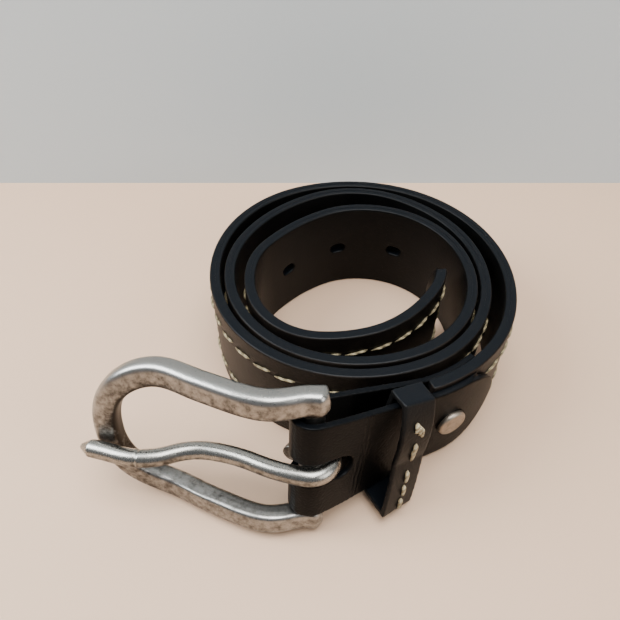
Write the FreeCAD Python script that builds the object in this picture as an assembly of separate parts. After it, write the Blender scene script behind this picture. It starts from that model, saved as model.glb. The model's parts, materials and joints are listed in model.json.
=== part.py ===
"""A leather belt rolled up in three loose turns, standing on its edge, with a horseshoe buckle.

Millimetres, +Z up. The strap's lower edge lies on z = 0. Seen from above, the strap starts at its
tip inside the coil, runs clockwise and outwards, and ends beside the buckle, at the front (-Y).
"""
import FreeCAD, Part
import math
import os

Vector = FreeCAD.Vector
UP = Vector(0, 0, 1)

# ---- strap -----------------------------------------------------------------------------------
strap_width = 38.0
face_thickness = 2.0
lining_thickness = 1.8
lining_edge_inset = 0.1            # the lining is trimmed back a hair from the strap's edges
tip_depth = 9.0                    # how far the rounded tip stands out past its two corners
cutter_margin = 1.0                # how far a cutting shape runs past the leather that it cuts

# ---- coil: the outer face's radius in the first turn, and the gaps between the turns after it --
# Each list goes round clockwise from +X in equal steps, eight to a turn.
inner_turn_radius = 35.6
inner_turn_shape = (0.868, 0.806, 0.921, 1.160, 1.149, 0.994, 1.025, 1.084)
second_turn_gaps = (5.8, 10.6, 8.0, 2.2, 3.7, 7.6, 7.4, 2.8)
third_turn_gaps = (1.0, 1.0, 1.0, 1.0, 1.5, 4.0, 1.1, 3.5)
last_stretch_gaps = (4.5, 4.3)
whole_turns = 3
tip_angle = -14.0                  # degrees clockwise from +X
tip_shape = 0.888                  # the tip's radius, as a share of the inner turn's
strap_end_angle = 71.0             # the same, after the whole turns
strap_end_gap = 4.1

# ---- holes for the prong -----------------------------------------------------------------------
hole_count = 5
first_hole_from_tip = 85.5
hole_spacing = 25.0
hole_height = 4.0
hole_length = 6.0

# ---- stitching along the strap -----------------------------------------------------------------
stitch_inset = 7.8                 # from the strap's edge to the row
stitch_pitch = 8.5
stitch_length = 6.8
stitch_breadth = 1.3
stitch_height = 0.6
stitch_seat = 0.05                 # air under a stitch, so that it only rests on the leather
stitch_tab_clearance = 0.15        # between a row's last stitch and the tab's rounded end

# ---- buckle tab: the thin leather folded round the bar -----------------------------------------
tab_thickness = 2.2
tab_inset = 1.3                    # the tab's edge inside the strap's, above and below
tab_bar_clearance = 0.7
tab_front_length = 25.5            # how far the outer leg runs back over the strap
tab_back_length = 20.0
slot_side_clearance = 1.3          # between the prong's eye and the slot, above and below
slot_end_clearance = 1.9           # between the prong's eye and the slot's end

# ---- rivet -------------------------------------------------------------------------------------
rivet_from_end = 7.5               # from the strap's end
rivet_cap_diameter = 10.0
rivet_cap_height = 1.8
rivet_back_diameter = 8.0
rivet_back_height = 0.7
rivet_back_gap = 0.18              # room behind the rivet for the leather's bend
rivet_post_diameter = 3.2
rivet_hole_clearance = 0.1

# ---- keeper loop -------------------------------------------------------------------------------
keeper_width = 11.8
keeper_skew = 12.0                 # degrees that its sides slant, with the lower end nearer the bar
keeper_thickness = 1.8
keeper_clearance = 0.85            # round the tab's outer leg
keeper_strap_clearance = 1.2       # in front of the tab, over the thickness of a strap's tip
keeper_toe_forward = 3.4           # how far the loop's lower front stands out past its middle
keeper_place = 0.335               # share of the way from the strap's end to the bar
keeper_stitch_seat = 0.3           # air under a stitch, where the front bends most
keeper_stitch_pitch = 5.5
keeper_stitch_length = 4.6
keeper_stitch_count = 5
back_tack_length = 7.0

# ---- buckle ------------------------------------------------------------------------------------
bar_diameter = 7.0
bar_tenon_diameter = 3.6
bar_end_gap = 0.15                 # between the bar's shoulders and the arms
tenon_seat = 0.02                  # round a tenon, in its arm
bar_reach = 39.8                   # past the strap's end, along the strap
bar_set_out = 5.4                  # from the line of the strap's end, away from the coil
buckle_turn = 32.2                 # degrees that the frame turns towards the coil, from the strap's end
buckle_lean = 14.0                 # degrees that the bar leans back
buckle_pitch = -1.2                # degrees that the frame's round end dips
frame_strap_clearance = 0.4        # between the arms, over the width of the strap that goes through
frame_radial = 7.8                 # breadth of the cast ring, in its plane
frame_thickness = 6.8
section_power = 3.0                # 2 is an ellipse, more is squarer
ridge_power = 5.0                  # the same at the ridge, outside and in front
arm_length = 38.0                  # from the bar to where the round end starts
round_length = 24.4                # from there to the ring's centre line at the round end
arm_tail = 4.2                     # behind the bar
round_power = 2.3                  # 2 is an ellipse, more is squarer
# How far the ring stands out of the bar's plane, at shares of its length from the bar.
arch_stations = ((-0.13, -1.2), (0.0, 1.0), (0.196, 5.6), (0.457, 3.2), (0.719, -0.6), (1.0, 1.2))
table_gap = 0.1                    # what the lower arm is raised by, over its drawn line

# ---- prong -------------------------------------------------------------------------------------
prong_diameter = 5.4
prong_eye_clearance = 0.1
prong_rest_gap = 0.6
prong_tail_angle = -12.0           # where the eye's wire ends, from the frame's direction
prong_droop = 3.6                  # degrees that its tip hangs below the frame's middle
prong_set_down = 0.6               # its eye, below the middle of the bar
prong_dip_place = 0.474            # share of the frame's length, its nearest point to the bar's plane
prong_dip_height = 2.0
prong_hump_place = 0.833
prong_hump_rise = 1.0              # above where it rests on the round end
prong_tip_fall = 5.0               # degrees that the end bends down over the ring
prong_overhang = 3.0               # past the ring
prong_point_length = 3.4

# ---- sizes that follow ---------------------------------------------------------------------------
strap_thickness = face_thickness + lining_thickness
half_strap = strap_thickness / 2
half_width = strap_width / 2
tab_width = strap_width - 2 * tab_inset
keeper_room = strap_thickness + keeper_strap_clearance
frame_inner_width = strap_width + frame_strap_clearance
frame_length = arm_length + round_length
eye_outer_radius = bar_diameter / 2 + prong_eye_clearance + prong_diameter
slot_width = prong_diameter + 2 * slot_side_clearance
slot_reach = eye_outer_radius + slot_end_clearance


# ---- flat paths of tangent arcs ----------------------------------------------------------------
def turned_left(v):
    """The plan vector turned a quarter turn to the left."""
    return Vector(-v.y, v.x, 0)


class Arc:
    """A flat arc that leaves `start` along `direction` and reaches `end`."""

    def __init__(self, start, direction, end):
        chord = end - start
        half_turn = math.atan2(direction.cross(chord).z, direction.dot(chord))
        self.turn = 2 * half_turn                      # positive to the left
        self.radius = chord.Length / 2 / abs(math.sin(half_turn))
        self.side = 1.0 if half_turn > 0 else -1.0
        self.start = start
        self.direction = direction
        self.centre = start + turned_left(direction) * (self.radius * self.side)
        self.length = self.radius * abs(self.turn)

    def direction_at(self, distance):
        angle = self.side * distance / self.radius
        c, s = math.cos(angle), math.sin(angle)
        d = self.direction
        return Vector(d.x * c - d.y * s, d.x * s + d.y * c, 0)

    def point_at(self, distance, offset=0.0):
        """The point `offset` to the left of the arc."""
        left = turned_left(self.direction_at(distance))
        return self.centre - left * (self.radius * self.side) + left * offset

    def edge(self, start, end, offset, backwards=False):
        points = [self.point_at(d, offset) for d in (start, (start + end) / 2, end)]
        if backwards:
            points.reverse()
        return Part.Arc(*points).toShape()


class ArcPath:
    """Arcs through given points, each tangent to the next."""

    def __init__(self, points, directions):
        self.arcs = []
        for i in range(len(points) - 1):
            self.arcs += two_arcs(points[i], directions[i], points[i + 1], directions[i + 1])
        self.length = sum(arc.length for arc in self.arcs)

    def spans(self, start, end):
        """Each arc between two lengths, with the part of it that lies there."""
        found = []
        passed = 0.0
        for arc in self.arcs:
            low = max(start - passed, 0.0)
            high = min(end - passed, arc.length)
            if high - low > 1e-6:
                found.append((arc, low, high))
            passed += arc.length
        return found

    def frame_at(self, distance, offset=0.0):
        """Point, direction, left normal and signed bend (1/mm, positive to the left)."""
        distance = min(max(distance, 1e-5), self.length - 1e-5)
        arc, low, high = self.spans(distance - 1e-5, distance + 1e-5)[0]
        direction = arc.direction_at(high)
        return arc.point_at(high, offset), direction, turned_left(direction), arc.side / arc.radius

    def wall(self, start, end, inner, outer, bottom, top):
        """A standing wall between two offsets of the path."""
        spans = self.spans(start, end)
        out = [arc.edge(low, high, outer) for arc, low, high in spans]
        back = [arc.edge(low, high, inner, True) for arc, low, high in reversed(spans)]
        first = spans[0]
        last = spans[-1]
        end_cap = Part.makeLine(last[0].point_at(last[2], outer), last[0].point_at(last[2], inner))
        start_cap = Part.makeLine(first[0].point_at(first[1], inner),
                                  first[0].point_at(first[1], outer))
        face = Part.Face(Part.Wire(out + [end_cap] + back + [start_cap]))
        wall = face.extrude(UP * (top - bottom))
        wall.translate(UP * bottom)
        return wall


def two_arcs(start, start_direction, end, end_direction):
    """Two tangent arcs that join two points with given directions."""
    reach = end - start
    both = start_direction + end_direction
    a = 2 * (1 - start_direction.dot(end_direction))
    b = 2 * reach.dot(both)
    c = -reach.dot(reach)
    if a < 1e-9:
        handle = -c / b
    else:
        handle = (-b + math.sqrt(b * b - 4 * a * c)) / (2 * a)
    joint = (start + end + (start_direction - end_direction) * handle) * 0.5
    middle = (end - start - both * handle).normalize()
    return [Arc(start, start_direction, joint), Arc(joint, middle, end)]


# ---- the strap's line --------------------------------------------------------------------------
def roll_stations():
    """Angle (degrees clockwise) and centre-line radius at each clock place, tip to buckle end."""
    radii = [inner_turn_radius * share for share in inner_turn_shape]
    places = len(radii)
    step = 360.0 / places
    for gaps in (second_turn_gaps, third_turn_gaps, last_stretch_gaps):
        turn_before = radii[-places:]
        radii += [turn_before[i] + strap_thickness + gap for i, gap in enumerate(gaps)]
    stations = [(tip_angle, inner_turn_radius * tip_shape)]
    stations += [(step * i, radius) for i, radius in enumerate(radii)]
    below = int(strap_end_angle // step) + places * (whole_turns - 1)
    share = (strap_end_angle % step) / step
    turn_under = radii[below] * (1 - share) + radii[below + 1] * share
    stations.append((360.0 * whole_turns + strap_end_angle, turn_under + strap_thickness + strap_end_gap))
    return [(angle, radius - half_strap) for angle, radius in stations]


def circle_direction(before, here, after):
    """The direction at `here` of the circle through three points."""
    first = here - before
    second = after - here
    mean = first * (second.Length / first.Length) + second * (first.Length / second.Length)
    return mean.normalize()


def strap_line():
    points = []
    for angle, radius in roll_stations():
        turn = math.radians(-angle)
        points.append(Vector(math.cos(turn), math.sin(turn), 0) * radius)
    inner = [circle_direction(*points[i - 1:i + 2]) for i in range(1, len(points) - 1)]
    first_chord = (points[1] - points[0]).normalize()
    last_chord = (points[-1] - points[-2]).normalize()
    first = first_chord * (2 * first_chord.dot(inner[0])) - inner[0]
    last = last_chord * (2 * last_chord.dot(inner[-1])) - inner[-1]
    return ArcPath(points, [first] + inner + [last])


strap = strap_line()
strap_end, strap_end_direction, strap_end_left, end_bend = strap.frame_at(strap.length)


def block(place, along, across, up, sizes):
    """A box with its middle at `place` and three given directions."""
    box = Part.makeBox(*sizes)
    box.translate(Vector(*sizes) * -0.5)
    turned = FreeCAD.Placement(place, FreeCAD.Rotation(along, across, up, "XYZ"))
    box.Placement = turned.multiply(box.Placement)
    return box


def rod(place, direction, radius, length):
    """A cylinder with its middle at `place`."""
    return Part.makeCylinder(radius, length, place - direction * (length / 2), direction)


# ---- strap: face, lining and stitches ----------------------------------------------------------
tip_round = (half_width ** 2 + tip_depth ** 2) / (2 * tip_depth)


def tip_waste():
    """What is cut off the strap's square end to round it."""
    place, direction, left, bend = strap.frame_at(0)
    depth = strap_thickness + 2 * cutter_margin
    middle = place + UP * half_width + direction * (tip_depth / 2 - cutter_margin)
    sizes = (tip_depth + 2 * cutter_margin, depth, strap_width + 4 * cutter_margin)
    kept = rod(place + UP * half_width + direction * tip_round, left, tip_round, 2 * depth)
    return block(middle, direction, left, UP, sizes).cut(kept)


def prong_holes():
    holes = []
    for i in range(hole_count):
        place, direction, left, bend = strap.frame_at(first_hole_from_tip + i * hole_spacing)
        place = place + UP * half_width
        depth = strap_thickness + cutter_margin
        straight = hole_length - hole_height
        hole = block(place, direction, left, UP, (straight, depth, hole_height))
        for way in (-0.5, 0.5):
            hole = hole.fuse(rod(place + direction * (way * straight), left, hole_height / 2, depth))
        holes.append(hole)
    return holes


def rivet_axis():
    """Where the rivet crosses the strap's middle, and the way it points, out of the coil."""
    place, direction, left, bend = strap.frame_at(strap.length - rivet_from_end)
    return place + UP * half_width, left


def rivet_hole():
    place, out = rivet_axis()
    depth = strap_thickness + 2 * tab_thickness + cutter_margin
    return rod(place, out, rivet_post_diameter / 2 + rivet_hole_clearance, depth)


def strap_layer(inner, outer, edge_inset):
    layer = strap.wall(0, strap.length, inner, outer, edge_inset, strap_width - edge_inset)
    return layer.cut([tip_waste(), rivet_hole()] + prong_holes())


def stitch(distance, height, climb):
    """One stitch lying on the face, its own length along the row."""
    place, direction, left, bend = strap.frame_at(distance, half_strap)
    bow = max(bend, 0) * stitch_length ** 2 / 8
    place = place + UP * height + left * (stitch_seat + bow + stitch_height / 2)
    along = direction * math.cos(climb) + UP * math.sin(climb)
    across = along.cross(left)
    return block(place, along, left, across, (stitch_length, stitch_height, stitch_breadth))


def stitch_row(side):
    """The stitches above (+1) or below (-1) the strap's middle, from the tip to the tab."""
    row_round = tip_round - stitch_inset
    row_height = half_width - stitch_inset
    full_climb = math.asin(row_height / row_round)
    curve_length = row_round * full_climb
    straight_start = tip_round - row_round * math.cos(full_climb)
    inner_height = row_height - stitch_breadth / 2
    tab_round = tab_width / 2
    tab_reach = tab_front_length - tab_round + math.sqrt(tab_round ** 2 - inner_height ** 2)
    row_end = curve_length + strap.length - tab_reach - stitch_tab_clearance - straight_start
    stitches = []
    for i in range(int((row_end - stitch_length / 2) / stitch_pitch + 0.5)):
        along = (i + 0.5) * stitch_pitch
        if along < curve_length:
            angle = along / row_round
            distance = tip_round - row_round * math.cos(angle)
            height = row_round * math.sin(angle)
            climb = math.pi / 2 - angle
        else:
            distance = straight_start + along - curve_length
            height = row_height
            climb = 0.0
        stitches.append(stitch(distance, half_width + side * height, side * climb))
    return Part.makeCompound(stitches)


# ---- the bar's own directions ------------------------------------------------------------------
def frame_directions():
    """Along the frame to its round end, up the bar, and out of the coil."""
    turn = math.radians(-buckle_turn)
    lean = math.radians(buckle_lean)
    pitch = math.radians(buckle_pitch)
    level_along = strap_end_direction * math.cos(turn) + strap_end_left * math.sin(turn)
    level_out = turned_left(level_along)
    along = level_along * math.cos(pitch) + UP * math.sin(pitch)
    upright = along.cross(level_out).normalize()
    up_bar = upright * math.cos(lean) - level_out * math.sin(lean)
    return along, up_bar, along.cross(up_bar) * -1


along_frame, up_bar, out_frame = frame_directions()
ring_half_width = frame_inner_width / 2 + frame_radial / 2


def arch(distance):
    """How far the ring's centre line stands out of the bar's plane: a smooth curve by the stations."""
    places = [station[0] * frame_length for station in arch_stations]
    heights = [station[1] for station in arch_stations]
    last = len(places) - 1
    slopes = []
    for i in range(last + 1):
        low, high = max(i - 1, 0), min(i + 1, last)
        slopes.append((heights[high] - heights[low]) / (places[high] - places[low]))
    i = max(k for k in range(last) if places[k] <= max(distance, places[0]))
    span = places[i + 1] - places[i]
    t = (distance - places[i]) / span
    return (heights[i] * (1 + 2 * t) * (1 - t) ** 2 + heights[i + 1] * t * t * (3 - 2 * t)
            + span * slopes[i] * t * (1 - t) ** 2 + span * slopes[i + 1] * t * t * (t - 1))


def ring_line():
    """The ring's centre line as (along, up the bar), upper arm to lower arm."""
    arm_steps = 8
    arm_run = arm_length + arm_tail
    arm = [(arm_run * i / arm_steps - arm_tail, ring_half_width) for i in range(arm_steps)]
    line = list(arm)
    round_steps = 14
    for i in range(round_steps + 1):
        angle = math.pi * i / round_steps
        out = round_length * abs(math.sin(angle)) ** (2 / round_power)
        up = ring_half_width * abs(math.cos(angle)) ** (2 / round_power)
        line.append((arm_length + out, up if i < round_steps / 2 else -up))
    return line + [(a, -u) for a, u in reversed(arm)]


def lowest_of_ring():
    """How far the ring's lowest point is below the middle of the bar."""
    power = ridge_power / (ridge_power - 1)
    radial_reach = abs(frame_radial / 2 * up_bar.z) ** power
    front_reach = abs(frame_thickness / 2 * out_frame.z) ** power
    section_reach = (radial_reach + front_reach) ** (1 / power)
    middles = [a * along_frame.z + u * up_bar.z + arch(a) * out_frame.z for a, u in ring_line()]
    return min(middles) - section_reach


bar_plan = strap_end + strap_end_direction * bar_reach + strap_end_left * bar_set_out
bar_middle = bar_plan + UP * (table_gap - lowest_of_ring())


def in_frame(along, up, out):
    return bar_middle + along_frame * along + up_bar * up + out_frame * out


# ---- buckle tab --------------------------------------------------------------------------------
tab_middle_radius = bar_diameter / 2 + tab_bar_clearance + tab_thickness / 2
tab_offset = half_strap + tab_thickness / 2
end_middle = strap_end + UP * half_width
to_bar = bar_middle - end_middle
tab_run = to_bar.Length
tab_along = to_bar * (1 / tab_run)


def tab_up(share):
    """The tab's own upward direction, which leans more and more towards the bar."""
    return (UP * (1 - share) + up_bar * share).normalize()


def tab_out(share):
    """The way out of the tab's outer leg."""
    return tab_up(share).cross(tab_along).normalize()


def tab_spread(share):
    """How far each leg's middle lies from the tab's mid plane."""
    opening = share * share * (3 - 2 * share)
    return tab_offset + (tab_middle_radius - tab_offset) * opening


def tab_point(share, side):
    """The middle of one leg: `side` is 1 for the outer leg and -1 for the inner one."""
    return end_middle + to_bar * share + tab_out(share) * (side * tab_spread(share))


def tab_centre_line():
    """Middle of the leather and its up direction: outer leg, fold, inner leg."""
    leg_steps = 9
    shares = [(i + 1) / leg_steps for i in range(leg_steps - 1)]
    fold_out = tab_out(1.0)
    fold_along = fold_out.cross(up_bar)
    line = [(tab_point(share, 1), tab_up(share)) for share in shares]
    fold_steps = 10
    for i in range(fold_steps + 1):
        angle = math.pi * i / fold_steps
        spoke = fold_out * math.cos(angle) + fold_along * math.sin(angle)
        line.append((bar_middle + spoke * tab_middle_radius, up_bar))
    return line + [(tab_point(share, -1), tab_up(share)) for share in reversed(shares)]


def tab_section(middle, across, up):
    half_thick = across * (tab_thickness / 2)
    half_high = up * (tab_width / 2)
    corners = [middle - half_thick - half_high, middle + half_thick - half_high,
               middle + half_thick + half_high, middle - half_thick + half_high]
    return Part.makePolygon(corners + corners[:1])


def tab_loop():
    """The free part of the tab, from the strap's end round the bar and back."""
    left = strap_end_left
    first = end_middle + left * tab_offset
    final = end_middle - left * tab_offset
    line = [(first, UP)] + tab_centre_line() + [(final, UP)]
    sections = [tab_section(first, left, UP)]
    for i in range(1, len(line) - 1):
        middle, up = line[i]
        travel = (line[i + 1][0] - line[i - 1][0]).normalize()
        sections.append(tab_section(middle, up.cross(travel).normalize(), up))
    sections.append(tab_section(final, left * -1, UP))
    return Part.makeLoft(sections, True, True)


def tongue_waste():
    """What is cut off the outer leg to round its end."""
    place, direction, left, bend = strap.frame_at(strap.length - tab_front_length, tab_offset)
    radius = tab_width / 2
    middle = place + UP * half_width
    depth = tab_thickness + 1.6 * cutter_margin
    sizes = (radius + 2 * cutter_margin, depth, tab_width + 2 * cutter_margin)
    waste = block(middle + direction * (radius / 2 - cutter_margin), direction, left, UP, sizes)
    return waste.cut(rod(middle + direction * radius, left, radius, 2 * depth))


eye_centre = bar_middle - up_bar * prong_set_down


def tab_slot():
    """The slot that the prong's eye turns in."""
    reach = slot_reach - slot_width / 2
    front = tab_middle_radius + tab_thickness
    middle = eye_centre - tab_along * ((reach - front) / 2)
    out = up_bar.cross(tab_along).normalize()
    along = out.cross(up_bar).normalize()
    depth = 4 * tab_middle_radius
    slot = block(middle, along, out, up_bar, (reach + front, depth, slot_width))
    return slot.fuse(rod(eye_centre - tab_along * reach, out, slot_width / 2, depth))


def build_tab():
    low = half_width - tab_width / 2
    high = half_width + tab_width / 2
    front = strap.wall(strap.length - tab_front_length, strap.length, half_strap,
                       half_strap + tab_thickness, low, high)
    back = strap.wall(strap.length - tab_back_length, strap.length, -half_strap - tab_thickness,
                      -half_strap, low, high)
    leather = front.cut(tongue_waste()).fuse([tab_loop(), back])
    return leather.cut([tab_slot(), rivet_hole()]).removeSplitter()


# ---- rivet -------------------------------------------------------------------------------------
def rivet_parts():
    place, out = rivet_axis()
    under_cap = half_strap + tab_thickness
    cap_start = place + out * under_cap
    cap = Part.makeCylinder(rivet_cap_diameter / 2, rivet_cap_height, cap_start, out)
    rims = [edge for edge in cap.Edges if edge.Closed]
    far_rim = max(rims, key=lambda rim: (rim.BoundBox.Center - cap_start).dot(out))
    cap = cap.makeFillet(rivet_cap_height * 0.6, [far_rim])
    back_start = place - out * (under_cap + rivet_back_gap + rivet_back_height)
    stud = Part.makeCylinder(rivet_back_diameter / 2, rivet_back_height, back_start, out)
    post_length = 2 * under_cap + rivet_back_gap
    post = Part.makeCylinder(rivet_post_diameter / 2, post_length, cap_start - out * post_length, out)
    return cap, stud.fuse(post)


# ---- keeper ------------------------------------------------------------------------------------
def in_keeper(end, out, up):
    """A point of the keeper: `end` is -1 at the strap's side, 1 at the bar's side, 0 between."""
    share = keeper_place + end * keeper_width / 2 / tab_run
    slant = tab_along * (up * math.tan(math.radians(keeper_skew)))
    return tab_point(share, 1) + tab_out(share) * out + tab_up(share) * up - slant


keeper_out = tab_out(keeper_place)


def keeper_wire(end, grow):
    """The loop's closed outline at one end, grown by `grow` from its inner side."""
    back = -tab_thickness / 2 - keeper_clearance - grow
    front = tab_thickness / 2 + keeper_room + grow
    high = tab_width / 2 + keeper_clearance + grow
    shoulder = tab_thickness / 2 + 1.2 + grow * 0.6
    inner_back = in_keeper(end, back, -high)
    inner_top = in_keeper(end, back, high)
    top = in_keeper(end, shoulder, high)
    middle = in_keeper(end, front, 0)
    belly = in_keeper(end, front + keeper_toe_forward * 0.62, -high * 0.5)
    toe = in_keeper(end, front + keeper_toe_forward, -high)
    upper_front = Part.Arc(top, in_keeper(end, front - 1.1, high * 0.55), middle).toShape()
    lower_front = Part.Arc(middle, belly, toe).toShape()
    return Part.Wire([Part.makeLine(inner_back, inner_top), Part.makeLine(inner_top, top),
                      upper_front, lower_front, Part.makeLine(toe, inner_back)])


def build_keeper():
    loops = [Part.makeLoft([keeper_wire(-1, grow), keeper_wire(1, grow)], True, True)
             for grow in (keeper_thickness, 0)]
    return loops[0].cut(loops[1])


def panel_stitch(edge, distance, length, shift=0.0):
    """One stitch on the keeper's front, at a length along an edge of its outline."""
    parameter = edge.getParameterByLength(distance)
    along = edge.tangentAt(parameter)
    out = along.cross(tab_along)
    if out.dot(keeper_out) < 0:
        out = out * -1
    place = edge.valueAt(parameter) + tab_along * shift
    place = place + out * (keeper_stitch_seat + stitch_height / 2)
    return block(place, along, out, along.cross(out), (length, stitch_height, stitch_breadth))


def keeper_stitches():
    """A row up the middle of the keeper's front, which ends in a cluster of back-tack stitches."""
    side, bottom = keeper_wire(0, keeper_thickness).Edges[2:4]
    stitches = []
    for i in range(keeper_stitch_count):
        from_bottom = (i + 0.6) * keeper_stitch_pitch
        if from_bottom + keeper_stitch_length / 2 < bottom.Length:
            stitches.append(panel_stitch(bottom, bottom.Length - from_bottom, keeper_stitch_length))
        else:
            into_side = max(from_bottom - bottom.Length, keeper_stitch_length / 2 + 0.2)
            stitches.append(panel_stitch(side, side.Length - into_side, keeper_stitch_length))
    row_end = keeper_stitch_count * keeper_stitch_pitch - bottom.Length
    tack_middle = side.Length - row_end - back_tack_length * 0.7
    for shift in (-1.0, 0.0, 1.0):
        tack = panel_stitch(side, tack_middle - shift, back_tack_length / 2, shift * stitch_breadth * 0.8)
        stitches.append(tack)
    return Part.makeCompound(stitches)


# ---- buckle ------------------------------------------------------------------------------------
def ring_section(middle, radial, out):
    """A rounded square with a ridge at its outer front corner."""
    points = []
    steps = 16
    for i in range(steps):
        angle = 2 * math.pi * i / steps
        c, s = math.cos(angle), math.sin(angle)
        power = 2 / (ridge_power if c > 0 and s > 0 else section_power)
        across = math.copysign(abs(c) ** power, c) * frame_radial / 2
        front = math.copysign(abs(s) ** power, s) * frame_thickness / 2
        points.append(middle + radial * across + out * front)
    outline = Part.BSplineCurve()
    outline.interpolate(Points=points, PeriodicFlag=True)
    return Part.Wire([outline.toShape()])


def ring_sections():
    line = ring_line()
    middles = [in_frame(a, u, arch(a)) for a, u in line]
    last = len(middles) - 1
    sections = []
    for i, middle in enumerate(middles):
        travel = (middles[min(i + 1, last)] - middles[max(i - 1, 0)]).normalize()
        radial = out_frame.cross(travel).normalize()
        out = travel.cross(radial).normalize()
        sections.append(ring_section(middle, radial, out))
    return sections


def build_ring():
    ring = Part.makeLoft(ring_sections(), True, False)
    tenon_holes = [bar_tenon(side, tenon_seat) for side in (1, -1)]
    return ring.cut(tenon_holes)


def bar_tenon(side, grow):
    """The thin end of the bar, in the arm at one side."""
    start = bar_middle + up_bar * (side * (frame_inner_width / 2 - bar_end_gap - grow))
    length = frame_radial * 0.75 + 2 * grow
    return Part.makeCylinder(bar_tenon_diameter / 2 + grow, length, start, up_bar * side)


def build_bar():
    length = frame_inner_width - 2 * bar_end_gap
    bar = rod(bar_middle, up_bar, bar_diameter / 2, length)
    return bar.fuse([bar_tenon(side, 0.0) for side in (1, -1)])


# ---- prong -------------------------------------------------------------------------------------
def prong_line():
    """The prong's centre line, laid out with the bar at the origin and the frame along +X."""
    eye_radius = eye_outer_radius - prong_diameter / 2
    tail = math.radians(prong_tail_angle)
    eye_middle = (tail - 1.5 * math.pi) / 2
    eye = [Vector(math.cos(a), math.sin(a), 0) * eye_radius
           for a in (tail, eye_middle, -1.5 * math.pi)]
    rest = arch(frame_length) + frame_thickness / 2 + prong_rest_gap + prong_diameter / 2
    level = Vector(1, 0, 0)
    tip_fall = math.radians(prong_tip_fall)
    fall = Vector(math.cos(tip_fall), -math.sin(tip_fall), 0)
    points = [Vector(0, eye_radius, 0), Vector(frame_length * prong_dip_place, prong_dip_height, 0),
              Vector(frame_length * prong_hump_place, rest + prong_hump_rise, 0),
              Vector(frame_length, rest, 0)]
    shank = ArcPath(points, [level, level, level, fall])
    return eye, shank, fall


def build_prong():
    eye, shank, fall = prong_line()
    tail = math.radians(prong_tail_angle)
    radius = prong_diameter / 2
    edges = [Part.Arc(*eye).toShape()]
    edges += [arc.edge(0, arc.length, 0) for arc in shank.arcs]
    end = shank.arcs[-1].point_at(shank.arcs[-1].length)
    overhang_end = end + fall * prong_overhang
    edges.append(Part.makeLine(end, overhang_end))
    start_direction = Vector(math.sin(tail), -math.cos(tail), 0)
    section = Part.Wire([Part.Circle(eye[0], start_direction, radius).toShape()])
    wire = Part.Wire(edges)
    shaft = wire.makePipeShell([section], True, False)
    point = Part.makeCone(radius, radius * 0.3, prong_point_length, overhang_end, fall)
    prong = shaft.fuse(point)
    droop = math.radians(prong_droop)
    along = along_frame * math.cos(droop) - up_bar * math.sin(droop)
    up = up_bar * math.cos(droop) + along_frame * math.sin(droop)
    prong.Placement = FreeCAD.Placement(eye_centre, FreeCAD.Rotation(along, out_frame, up, "XYZ"))
    return prong


# ---- the whole belt ----------------------------------------------------------------------------
def build_belt():
    cap, stud = rivet_parts()
    return {
        "strap_face": strap_layer(lining_thickness - half_strap, half_strap, 0),
        "strap_lining": strap_layer(-half_strap, lining_thickness - half_strap, lining_edge_inset),
        "upper_stitch_row": stitch_row(1),
        "lower_stitch_row": stitch_row(-1),
        "buckle_tab": build_tab(),
        "rivet_cap": cap,
        "rivet_stud": stud,
        "keeper_loop": build_keeper(),
        "keeper_stitching": keeper_stitches(),
        "buckle_ring": build_ring(),
        "buckle_bar": build_bar(),
        "buckle_prong": build_prong(),
    }


def main():
    belt = build_belt()
    box = FreeCAD.BoundBox()
    for shape in belt.values():
        box.add(shape.optimalBoundingBox(True, False))
    to_origin = Vector(-box.Center.x, -box.Center.y, 0)
    os.makedirs("parts", exist_ok=True)
    for name, shape in belt.items():
        shape.translate(to_origin)
        shape.exportStep("parts/" + name + ".step")
        print(name, "valid", shape.isValid(), "solids", len(shape.Solids))
    print("size", box.XLength, box.YLength, box.ZLength, "lowest", box.ZMin)
    print("strap length", round(strap.length, 1))
    print("strap end", tuple(strap_end + to_origin), tuple(strap_end_direction))
    print("coil centre", tuple(to_origin))
    print("bar middle", tuple(bar_middle + to_origin), "axis", tuple(up_bar))
    print("frame along", tuple(along_frame), "out", tuple(out_frame))
    keeper_middle = tab_point(keeper_place, 1) + to_origin
    print("keeper middle", tuple(keeper_middle), "slides along", tuple(tab_along))


main()
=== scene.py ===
"""Looks for a rolled leather belt with a horseshoe buckle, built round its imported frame."""
import json
import logging
import math
import random
from dataclasses import dataclass
from enum import Enum

import bpy
from mathutils import Matrix, Vector


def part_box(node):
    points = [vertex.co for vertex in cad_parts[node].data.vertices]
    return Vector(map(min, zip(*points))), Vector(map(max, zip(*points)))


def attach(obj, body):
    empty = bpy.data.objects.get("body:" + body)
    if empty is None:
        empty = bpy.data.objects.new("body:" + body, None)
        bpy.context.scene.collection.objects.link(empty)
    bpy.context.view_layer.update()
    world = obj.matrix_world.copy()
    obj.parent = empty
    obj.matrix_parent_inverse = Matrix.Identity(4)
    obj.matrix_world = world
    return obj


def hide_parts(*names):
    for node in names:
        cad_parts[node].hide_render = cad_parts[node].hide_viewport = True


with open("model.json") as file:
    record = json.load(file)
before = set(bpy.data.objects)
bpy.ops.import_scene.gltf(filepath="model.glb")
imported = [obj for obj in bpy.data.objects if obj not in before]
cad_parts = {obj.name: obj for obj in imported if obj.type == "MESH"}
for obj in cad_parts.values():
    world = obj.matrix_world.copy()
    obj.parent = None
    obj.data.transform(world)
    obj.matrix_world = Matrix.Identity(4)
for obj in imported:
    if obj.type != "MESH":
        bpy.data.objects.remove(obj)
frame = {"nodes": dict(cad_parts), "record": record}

log = logging.getLogger("belt")
MM = 0.001
WELD = 0.002 * MM
COLOUR_A, COLOUR_B = 6, 7
REMESHED_ANGLE = 80
EDGE_ANGLE = 40


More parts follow.
